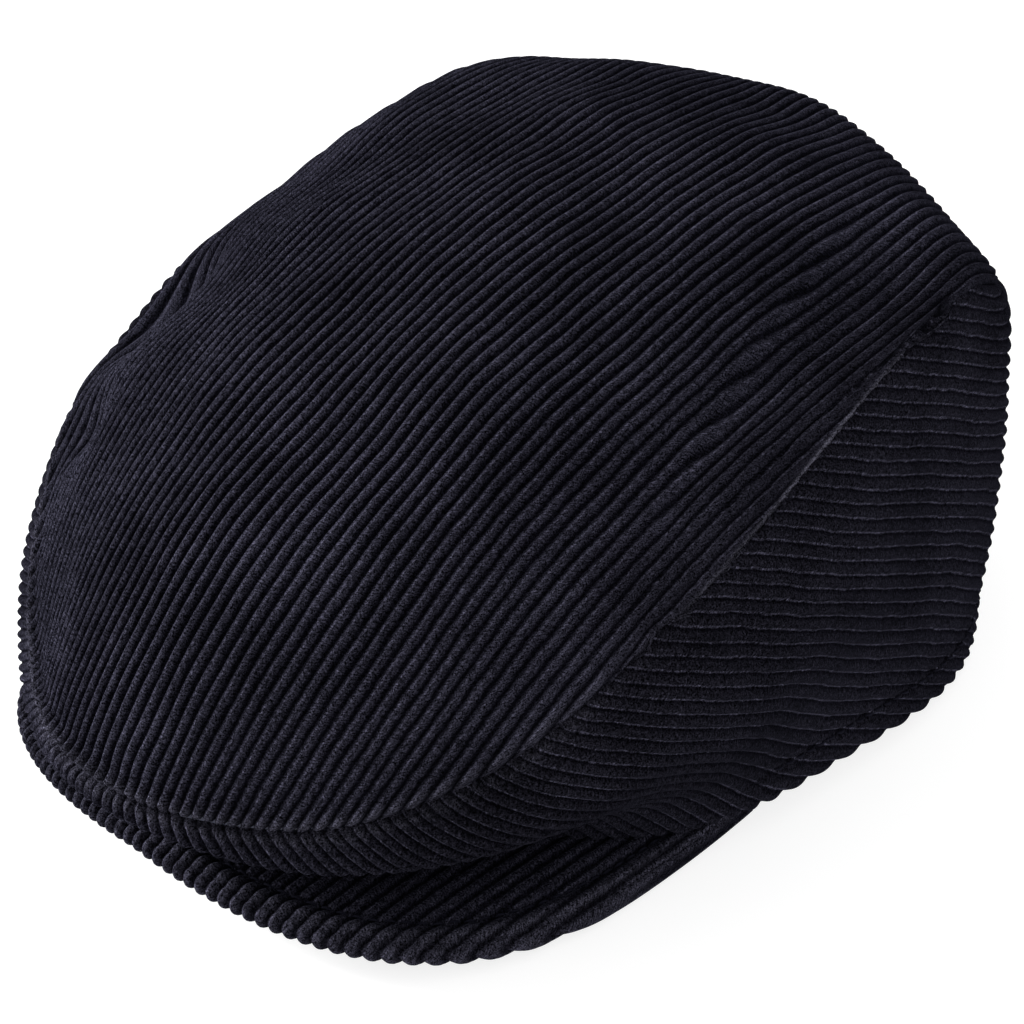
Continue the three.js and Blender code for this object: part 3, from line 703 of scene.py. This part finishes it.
def brim_sections():
    """The brim's outside, along its top from the inner edge, round the rim and back under, each
    point's distance from the rim, and the column on the rim."""
    a = np.linspace(-1, 1, BRIM_COLUMNS)
    inner, rim = brim_inner(a), brim_rim(a)
    width = np.linalg.norm(rim - inner, axis=1)
    thickness = BRIM_THICKNESS * (1 - BRIM_THINNING * a ** 4)
    out = unit(np.stack([np.gradient(rim[:, 1]), -np.gradient(rim[:, 0]), np.zeros(len(a))], -1))
    w = np.linspace(0, 1, BRIM_ROWS)
    radius = (thickness / 2)[:, None]
    shoulder = rim - out * radius / 2
    top = inner[:, None] + (shoulder - inner)[:, None] * w[None, :, None]
    top[..., 2] += BRIM_BOW * 4 * (w * (1 - w))[None] * (1 - a ** 2)[:, None]
    turn = np.linspace(0, np.pi, BRIM_RIM_STEPS)[1:-1]
    middle = shoulder - UP * radius
    edge = (middle[:, None] + out[:, None] * (radius * np.sin(turn))[..., None]
            + UP * (radius * np.cos(turn))[..., None])
    under = top[:, ::-1] - UP * thickness[:, None, None]
    top[..., 2] += BRIM_SEAM_RISE * bump(w, BRIM_SEAM_RISE_WIDTH)
    from_rim = np.concatenate([(1 - w)[None] * width[:, None], np.zeros((len(a), len(turn))),
                               w[None] * width[:, None]], 1)
    return np.concatenate([top, edge, under], 1), from_rim, len(w) + len(turn) // 2


def brim_normals(base):
    normal = grid_normals(base)
    upward = normal[len(base) // 2, BRIM_ROWS // 2, 2]
    return normal * np.sign(upward)


def brim_cloths(base, from_rim, rim_column):
    """The top and the under cover, which meet on the rim."""
    wale = base[..., 0] / WALE + 0.5
    pile = rib(wale)
    stitched = bump(from_rim - BRIM_STITCH_MARGIN, STITCH_DENT_WIDTH)
    growth = 1 - BRIM_STITCH_FLATTENS * stitched + beside(from_rim, BRIM_RIM_PILE)
    raised = (BRIM_RIB_SHARE * RIB_HEIGHT * (pile * growth - CREST)
              + beside(from_rim, BRIM_BEAD) - STITCH_DENT * stitched)
    points = base + brim_normals(base) * raised[..., None]
    run = base[..., 1] - base[..., 2]
    tip = beside(from_rim, BRIM_TIP) * pile
    return [mesh_from_grid(name, points[:, part], wale=wale[:, part], run=run[:, part],
                           nap=BRIM_PAINTED_SHADE, tip=tip[:, part])
            for name, part in (("brim_top_cloth", slice(None, rim_column + 1)),
                               ("brim_under_cloth", slice(rim_column, None)))]


def brim_board(base):
    """The stiff board between the brim's covers."""
    rows = base[BOARD_COLUMNS, BOARD_ROWS]
    a = np.linspace(-1, 1, BRIM_COLUMNS)[BOARD_COLUMNS]
    thinning = (1 - BRIM_THINNING * a ** 4)[:, None, None]
    outer, inner = rows - UP * BOARD_TOP * thinning, rows[:, ::-1] - UP * BOARD_UNDER * thinning
    return mesh_from_grid("brim_board_sheet", np.concatenate([outer, inner, outer[:, :1]], 1),
                          flip=True)


# ---- stitching

def even_out(path, rounds):
    """Smooth a path of points by averaging neighbours."""
    for _ in range(rounds):
        path[1:-1] = (path[:-2] + path[1:-1] + path[2:]) / 3
    return path


def stitches_along(name, path, normals):
    """Thread stitches along a path."""
    reach = distance_along(path)
    starts = np.arange(STITCH_PITCH, reach[-1] - STITCH_PITCH, STITCH_PITCH)

    def at(distances, values):
        return np.stack([np.interp(distances, reach, values[:, axis]) for axis in range(3)], 1)

    ends = starts + STITCH_PITCH * STITCH_SHARE
    return tubes(name, at(starts, path), at(ends, path), at(starts, normals))


def hem_stitch_path():
    t = round_cap(BRIM_END, 2 - BRIM_END, HEM_PATH_POINTS)
    v = np.linspace(HEM_PATH_TOP, 1, HEM_PATH_ROWS)
    grid = lift_hem(wall_grid(np.abs(t), v), v)
    grid[..., 0] *= np.where(t < 0, -1, 1)[:, None]
    grid = settle(grid)
    gap = np.linalg.norm(grid - grid[:, -1:], axis=-1)
    row = np.abs(gap - HEM_STITCH_HEIGHT).argmin(1)
    path = even_out(grid[np.arange(len(t)), row], HEM_PATH_EVENING)
    normals = outward(t)
    return path - normals * HEM_STITCH_DEPTH, normals


def brim_stitch_path(base, from_rim):
    column = np.abs(from_rim[:, :BRIM_ROWS] - BRIM_STITCH_MARGIN).argmin(1)[STITCH_END:-STITCH_END]
    row = np.arange(STITCH_END, BRIM_COLUMNS - STITCH_END)
    normals = brim_normals(base)[row, column]
    return even_out(base[row, column] - normals * BRIM_STITCH_DEPTH, BRIM_PATH_EVENING), normals


# ---- inside

def side_lining(side):
    t = np.linspace(*SIDE_LINING_ENDS, SIDE_LINING_COLUMNS)
    v = np.linspace(*SIDE_LINING_HEIGHTS, LINING_ROWS)
    grid = wall_grid(t, v)
    normal = grid_normals(grid)
    fullness = SIDE_LINING_IN_FRONT + (1 - SIDE_LINING_IN_FRONT) * rise(t, *SIDE_LINING_FULL)
    fullness = fullness[:, None, None]
    upper, lower = grid[:, :1], grid[:, -1:]
    below, above = LINING_STRAIGHT_HANDLES
    straight = cubic(upper, upper - UP * below, lower + UP * above, lower, v[None, :, None])
    grid = grid * fullness + straight * (1 - fullness)
    gathered = bump(v - PLEAT_PLACE, PLEAT_REACH)[None, :]
    pleat = PLEAT_DEPTH * np.sin(t * PLEAT_FREQUENCY)[:, None] * gathered
    grid = grid + normal * (LINING_DEPTH + pleat)[..., None]
    if side < 0:
        grid = grid * (-1, 1, 1)
    name = "lining_satin_left" if side > 0 else "lining_satin_right"
    return mesh_from_grid(name, settle(grid), flip=side > 0)


def top_lining():
    y = np.linspace(seam_curve[0, 1] + LINING_ENDS[0], seam_curve[-1, 1] - LINING_ENDS[1],
                    TOP_LINING_ROWS)
    share = np.linspace(-1, 1, TOP_LINING_COLUMNS)
    reach = np.interp(y, stations, section_reach) - LINING_EDGE
    grid = top_point(share[:, None] * reach[None, :], np.broadcast_to(y, (len(share), len(y))))
    grid = grid - UP * LINING_DEPTH
    return mesh_from_grid("lining_satin_top", settle(grid))


def upright_band(name, t, depth, lift, height, belly):
    """A ribbon standing inside the hem."""
    rows = np.linspace(0, 1, BAND_ROWS)
    out = hem_outward(t)
    foot = half_curve(HEM, t) - out * depth
    up = lift + height * rows
    grid = (foot[:, None] + UP * up[None, :, None]
            - out[:, None] * (belly * np.sin(np.pi * rows))[None, :, None])
    return mesh_from_grid(name, grid, along=distance_along(foot)[:, None])


def back_tape():
    """The tape over the centre-back seam, behind the lining."""
    t = round_cap(1 - TAPE_HALF_WIDTH, 1 + TAPE_HALF_WIDTH, TAPE_COLUMNS)
    grid = wall_grid(t, np.linspace(*TAPE_HEIGHTS, LINING_ROWS))
    grid = settle(grid + grid_normals(grid) * TAPE_DEPTH)
    middle = grid[TAPE_COLUMNS // 2 - 1]
    return mesh_from_grid("back_seam_ribbon", grid, along=distance_along(middle)[None, :])


def label():
    """A plain folded size label on the back of the sweatband, bulging a little."""
    t = round_cap(1 - LABEL_HALF_WIDTH, 1 + LABEL_HALF_WIDTH, LABEL_COLUMNS)
    foot = half_curve(HEM, t)
    out = hem_outward(t)
    share = np.linspace(-1, 1, LABEL_ROWS)
    up = LABEL_LIFT + LABEL_HEIGHT * (share + 1) / 2
    across = np.linspace(-1, 1, LABEL_COLUMNS)
    bulge = (LABEL_BULGE * (1 - share[None, :] ** 4)
             * (1 - LABEL_FLAT_ENDS * across[:, None] ** 4))
    grid = (foot[:, None] + UP * up[None, :, None]
            - out[:, None] * (LABEL_DEPTH + bulge)[..., None])
    return mesh_from_grid("size_label_cloth", grid)


# ---- materials

def new_material(name, colour, roughness, **sockets):
    material = bpy.data.materials.new(name)
    material.use_nodes = True
    shader = material.node_tree.nodes["Principled BSDF"]
    shader.inputs["Base Color"].default_value = (*colour, 1)
    shader.inputs["Roughness"].default_value = roughness
    for key, value in sockets.items():
        shader.inputs[key.replace("_", " ")].default_value = value
    return material


class Graph:
    """Short calls for building a material's nodes."""

    def __init__(self, material):
        self.nodes, self.links = material.node_tree.nodes, material.node_tree.links
        self.shader = self.nodes["Principled BSDF"]

    def put(self, socket, value):
        if isinstance(value, bpy.types.NodeSocket):
            self.links.new(value, socket)
        else:
            socket.default_value = value

    def node(self, kind, output, inputs, **settings):
        """The output of a new node, once its settings are made and its inputs filled."""
        node = self.nodes.new("ShaderNode" + kind)
        for key, value in settings.items():
            setattr(node, key, value)
        for key, value in inputs.items():
            self.put(node.inputs[key], value)
        return node.outputs[output]

    def attribute(self, name):
        return self.node("Attribute", "Fac", {}, attribute_name=name)

    def position(self):
        return self.node("TexCoord", "Object", {})

    def math(self, operation, a, b=0.0, clamp=False):
        return self.node("Math", 0, {0: a, 1: b}, operation=operation, use_clamp=clamp)

    def noise(self, vector, scale, detail):
        return self.node("TexNoise", "Fac", {"Vector": vector, "Scale": scale, "Detail": detail})

    def remap(self, value, low, high, to_low=0.0, to_high=1.0, kind="LINEAR"):
        return self.node("MapRange", "Result", {
            "Value": value, "From Min": low, "From Max": high, "To Min": to_low,
            "To Max": to_high}, interpolation_type=kind)

    def mix(self, share, a, b, blend="MIX"):
        """Two colours mixed. Inputs 6 and 7 are the node's colours."""
        return self.node("Mix", 2, {"Factor": share, 6: a, 7: b}, data_type="RGBA",
                         blend_type=blend)

    def bump(self, height, distance, strength, **under):
        return self.node("Bump", "Normal", {
            "Strength": strength, "Distance": distance, "Height": height, **under})

    def finish(self, colour, normal):
        self.put(self.shader.inputs["Base Color"], colour)
        self.put(self.shader.inputs["Normal"], normal)

    def shades(self, share, colour, dark, light):
        """The colour between its darker and its lighter shade."""
        return self.mix(share, tuple(dark * c for c in colour) + (1,),
                        tuple(light * c for c in colour) + (1,))


# Scales of the noises, in waves per metre.
PILE_FINE, PILE_COARSE, PILE_PATCHES, WALE_WOBBLE = 3000, 900, 40, 260
SATIN_WEAVE, SATIN_CLOUDS, RIBBON_THREADS = 900, 60, 2500
TUFTS_ACROSS, TUFTS = 1.2, 2.6  # across a rib, and in waves per millimetre
# The values that most of a noise lies between, and what they turn into.
WIDE, NARROW, SPECKLED = (0.3, 0.7), (0.35, 0.65), (0.30, 0.72)
SPECKLES, STREAKS, CLUMPS, PATCHES = (0.0, 2.3), (0.3, 1.7), (0.7, 1.3), (0.76, 1.24)
HIGHLIGHT_CLUMPS, WOBBLE = (0.4, 1.0), (-0.06, 0.06)
# Across a rib, as shares of its width. Pairs go from the top's lit look, painted shade share 0, to
# the side panels' painted shaded look, share 1.
CREST_PLACE, HIGHLIGHT_PLACE = (0.44, 0.5), (0.33, 0.13)
# How strong the painted groove shade and the painted highlight are, and the distances over which
# each sets in.
GROOVE_SHADE_SHARE, HIGHLIGHT_SHARE = (0.85, 0.6), (0.26, 0.6)
GROOVE_SHADE_EDGE, HIGHLIGHT_EDGE = (0.22, 0.46), (0.13, 0.02)
# Bump heights in metres.
PILE_ROUGH_HEIGHT, PILE_FINE_HEIGHT = 0.0006, 0.0004
WEAVE_HEIGHT, FOLD_HEIGHT, RIBBON_HEIGHT, GRAIN_HEIGHT = 0.00004, 0.001, 0.0001, 0.00008
GROSGRAIN_RIB = 0.8  # in millimetres

# Painted shade: near-black colour laid into the rib grooves.
PILE_GROOVE_SHADE = (0.0007, 0.0006, 0.0014, 1)
PILE_BODY = (0.0142, 0.0138, 0.0208, 1)
# Painted shade: the darker colour of the side panels.
PILE_SHADED_SIDE = (0.0068, 0.0065, 0.0096, 1)
# Painted highlight: the light stripe where a rib's flank catches the light.
PILE_HIGHLIGHT = (0.054, 0.052, 0.077, 1)
PALE_TIP_COLOUR = (0.12, 0.117, 0.155, 1)
PALE_TIP_SHARE = 0.35


def corduroy_material():
    """Pile ribs: painted shade in the groove, a fuzzy painted highlight on one flank, speckled all
    over.
    """
    material = new_material(
        "corduroy", PILE_BODY[:3], 1.0, Sheen_Weight=0.014, Sheen_Roughness=0.45,
        Sheen_Tint=(0.65, 0.68, 1.0, 1), Specular_IOR_Level=0.0)
    g = Graph(material)
    place, nap, run = g.position(), g.attribute("nap"), g.attribute("run")
    wobble = g.noise(place, WALE_WOBBLE, 2)
    wale = g.math("ADD", g.attribute("wale"), g.remap(wobble, *WIDE, *WOBBLE))
    phase = g.math("FRACT", wale)

    def by_nap(pair):
        return g.remap(nap, 0, 1, *pair)

    # Painted shade in the groove, growing away from the crest.
    from_crest = g.math("ABSOLUTE", g.math("SUBTRACT", phase, by_nap(CREST_PLACE)))
    groove = g.remap(from_crest, *GROOVE_SHADE_EDGE, 0, 1, "SMOOTHSTEP")
    # Painted highlight: a light stripe on one flank of each rib.
    from_highlight = g.math("ABSOLUTE", g.math("SUBTRACT", phase, by_nap(HIGHLIGHT_PLACE)))
    highlight = g.remap(from_highlight, *HIGHLIGHT_EDGE, 0, 1, "SMOOTHSTEP")
    tufts = g.node("CombineXYZ", 0, {"X": g.math("MULTIPLY", wale, TUFTS_ACROSS), "Y": run})
    streak = g.noise(tufts, TUFTS, 1)
    fine, coarse = g.noise(place, PILE_FINE, 1), g.noise(place, PILE_COARSE, 3)
    patch = g.noise(place, PILE_PATCHES, 3)
    speckle = g.math("MULTIPLY", g.remap(fine, *SPECKLED, *SPECKLES),
                     g.remap(streak, *WIDE, *STREAKS))
    speckle = g.math("MULTIPLY", speckle, g.remap(coarse, *WIDE, *CLUMPS))
    # Painted shade: the body darkens towards the side panels' colour.
    body = g.mix(g.math("MULTIPLY", nap, nap), PILE_BODY, PILE_SHADED_SIDE)
    highlight_share = g.math("MULTIPLY", highlight, by_nap(HIGHLIGHT_SHARE))
    highlight_share = g.math("MULTIPLY", highlight_share, g.remap(coarse, *NARROW, *HIGHLIGHT_CLUMPS))
    # The grooves' painted shade.
    colour = g.mix(g.math("MULTIPLY", groove, by_nap(GROOVE_SHADE_SHARE)), body, PILE_GROOVE_SHADE)
    # The painted highlight, broken into clumps.
    colour = g.mix(highlight_share, colour, PILE_HIGHLIGHT)
    # Lighter pile on the knobs, along the brim's rim and along the left seam's edge.
    paler = g.math("MULTIPLY", g.attribute("tip"), PALE_TIP_SHARE, clamp=True)
    colour = g.mix(paler, colour, PALE_TIP_COLOUR)
    shade = g.math("MULTIPLY", speckle, g.remap(patch, *NARROW, *PATCHES))
    grey = g.node("CombineColor", 0, dict.fromkeys(("Red", "Green", "Blue"), shade))
    rough = g.bump(coarse, PILE_ROUGH_HEIGHT, 0.5)
    pile = g.bump(fine, PILE_FINE_HEIGHT, 0.8, Normal=rough)
    g.finish(g.mix(1.0, colour, grey, "MULTIPLY"), pile)
    return material


def satin_material(name, colour):
    """Smooth woven satin with a faint warp."""
    material = new_material(name, colour, 0.32, Specular_IOR_Level=0.5, Sheen_Weight=0.1,
                            Anisotropic=0.4)
    g = Graph(material)
    weave = g.node("TexWave", "Fac", {
        "Vector": g.position(), "Scale": SATIN_WEAVE, "Distortion": 1.5})
    cloudy = g.noise(g.position(), SATIN_CLOUDS, 3)
    folds = g.bump(cloudy, FOLD_HEIGHT, 0.1)
    g.finish(g.shades(cloudy, colour, 0.75, 1.3), g.bump(weave, WEAVE_HEIGHT, 0.5, Normal=folds))
    return material


def ribbon_material(name, colour):
    """Grosgrain ribbon: fine upright ribs."""
    material = new_material(name, colour, 0.6, Sheen_Weight=0.15, Specular_IOR_Level=0.3)
    g = Graph(material)
    ribs = g.math("SINE", g.math("MULTIPLY", g.attribute("along"), 2 * math.pi / GROSGRAIN_RIB))
    both = g.math("ADD", ribs, g.noise(g.position(), RIBBON_THREADS, 2))
    g.finish(g.shades(g.remap(ribs, -1, 1), colour, 0.6, 1.25), g.bump(both, RIBBON_HEIGHT, 0.7))
    return material


def speckled_material(name, colour, roughness, scale, **sockets):
    """Any small piece: its own colour with a fine grain."""
    material = new_material(name, colour, roughness, **sockets)
    g = Graph(material)
    grain = g.noise(g.position(), scale, 3)
    g.finish(g.shades(g.remap(grain, *WIDE), colour, 0.6, 1.35), g.bump(grain, GRAIN_HEIGHT, 0.6))
    return material


corduroy = corduroy_material()
satin = satin_material("satin_navy", (0.010, 0.013, 0.045))
ribbon = ribbon_material("sweatband_ribbon", (0.012, 0.013, 0.022))
thread = speckled_material("thread", (0.009, 0.009, 0.015), 0.9, 4000, Specular_IOR_Level=0.02)
board = speckled_material("board", (0.42, 0.38, 0.30), 0.8, 300)
dark_metal = speckled_material("snap_metal", (0.06, 0.06, 0.065), 0.35, 700, Metallic=0.9)
label_cloth = speckled_material("label_cloth", (0.55, 0.55, 0.53), 0.7, 2400, Sheen_Weight=0.2)

# ---- assembly

top_cloth = top_panel()
left_cloth, right_cloth = side_panel(1), side_panel(-1)
brim_base, brim_from_rim, rim_column = brim_sections()
brim_top, brim_under = brim_cloths(brim_base, brim_from_rim, rim_column)
board_sheet = brim_board(brim_base)
lining_top = top_lining()
lining_left, lining_right = side_lining(1), side_lining(-1)

front_end = BRIM_END + SWEATBAND_OVERLAP
front_t = np.linspace(-front_end, front_end, SWEATBAND_FRONT_COLUMNS)
back_end = BRIM_END - SWEATBAND_OVERLAP
back_t = round_cap(back_end, 2 - back_end, SWEATBAND_BACK_COLUMNS)
band_front = upright_band("sweatband_front", front_t, *SWEATBAND)
band_back = upright_band("sweatband_back", back_t, *SWEATBAND)
around_t = np.linspace(-1, 1, HEM_TAPE_COLUMNS)
hem_ribbon = upright_band("hem_ribbon", around_t, *HEM_TAPE)
back_ribbon = back_tape()
size_label = label()

hem_stitches = stitches_along("hem_stitches", *hem_stitch_path())
brim_stitches = stitches_along("brim_stitches", *brim_stitch_path(brim_base, brim_from_rim))

for material, pieces in (
        (corduroy, (top_cloth, left_cloth, right_cloth, brim_top, brim_under)),
        (satin, (lining_top, lining_left, lining_right)),
        (ribbon, (band_front, band_back, hem_ribbon, back_ribbon)),
        (label_cloth, (size_label,)),
        (thread, (hem_stitches, brim_stitches)),
        (board, (board_sheet,))):
    for piece in pieces:
        piece.data.materials.append(material)

# The front of the soft crown gives with the brim. These cloths take the place of the CAD pieces
# of the same parts, which are hidden, and each one's placement is baked into its mesh.
for cloth, node, slot in (
        (top_cloth, "crown_top_panel", "corduroy"),
        (left_cloth, "side_panel_left", "corduroy"),
        (right_cloth, "side_panel_right", "corduroy"),
        (brim_top, "brim_top_cover", "corduroy"),
        (brim_under, "brim_under_cover", "corduroy"),
        (board_sheet, "brim_board", "board"),
        (brim_stitches, "brim_stitching", "thread"),
        (lining_top, "lining_top", "satin"),
        (lining_left, "lining_side_left", "satin"),
        (lining_right, "lining_side_right", "satin"),
        (band_front, "sweatband", "sweatband"),
        (hem_ribbon, "hem_tape", "tape")):
    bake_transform(cloth)
    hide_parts(node)
for piece, node, slot in (
        (band_back, "sweatband", "sweatband"),
        (back_ribbon, "back_seam_tape", "tape"),
        (size_label, "size_label", "label"),
        (hem_stitches, "hem_stitching", "thread")):
    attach(piece, "crown")
    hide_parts(node)

for node in ("snap_stud", "snap_socket", "snap_washer"):
    metal_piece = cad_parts[node]
    metal_piece.data.materials.clear()
    metal_piece.data.materials.append(dark_metal)

# ---- camera, floor and light

AZIMUTH, ELEVATION, DISTANCE = math.radians(45.2), math.radians(34.5), 845
TARGET = np.array([0, 12, 48.0])
SHIFT_LEFT, SHIFT_DOWN = 11, 12  # the camera's own, in millimetres
LENS = 130.8
CLIP_END = 30  # in metres, past the far edge of the floor
FLOOR_HALF = 10  # in metres
SKY_STRENGTH = 0.85

backwards = np.array([math.sin(AZIMUTH) * math.cos(ELEVATION),
                      -math.cos(AZIMUTH) * math.cos(ELEVATION), math.sin(ELEVATION)])
rightwards = np.array([math.cos(AZIMUTH), math.sin(AZIMUTH), 0])
upwards = np.cross(backwards, rightwards)
camera = make_object("camera", bpy.data.cameras.new("camera"))
shift = rightwards * SHIFT_LEFT + upwards * SHIFT_DOWN
camera.location = (TARGET + backwards * DISTANCE - shift) * MM
camera.rotation_euler = (math.pi / 2 - ELEVATION, 0, AZIMUTH)
camera.data.lens = LENS
camera.data.clip_end = CLIP_END
bpy.context.scene.camera = camera

floor_mesh = bpy.data.meshes.new("floor")
corners = [(x * FLOOR_HALF, y * FLOOR_HALF, 0) for x, y in ((-1, -1), (1, -1), (1, 1), (-1, 1))]
floor_mesh.from_pydata(corners, [], [(0, 1, 2, 3)])
floor = make_object("floor", floor_mesh)
floor_mesh.materials.append(new_material(
    "floor_white", (0.35, 0.35, 0.35), 0.9, Emission_Color=(1, 1, 1, 1), Emission_Strength=0.8))

world = bpy.data.worlds.new("studio")
bpy.context.scene.world = world
world.use_nodes = True
sky = world.node_tree.nodes["Background"]
sky.inputs["Color"].default_value = (1, 1, 1, 1)
sky.inputs["Strength"].default_value = SKY_STRENGTH


def area_light(name, place, size, power):
    """A square lamp at a place in metres, facing the floor under the cap."""
    light = bpy.data.lights.new(name, "AREA")
    light.size = size
    light.energy = power
    lamp = make_object(name, light)
    lamp.location = place
    x, y, z = place
    lamp.rotation_euler = (math.atan2(math.hypot(x, y), z), 0, math.atan2(x, -y))


area_light("key", (-1.1, -0.65, 0.5), size=0.4, power=32)
bpy.context.scene.view_settings.view_transform = "Standard"
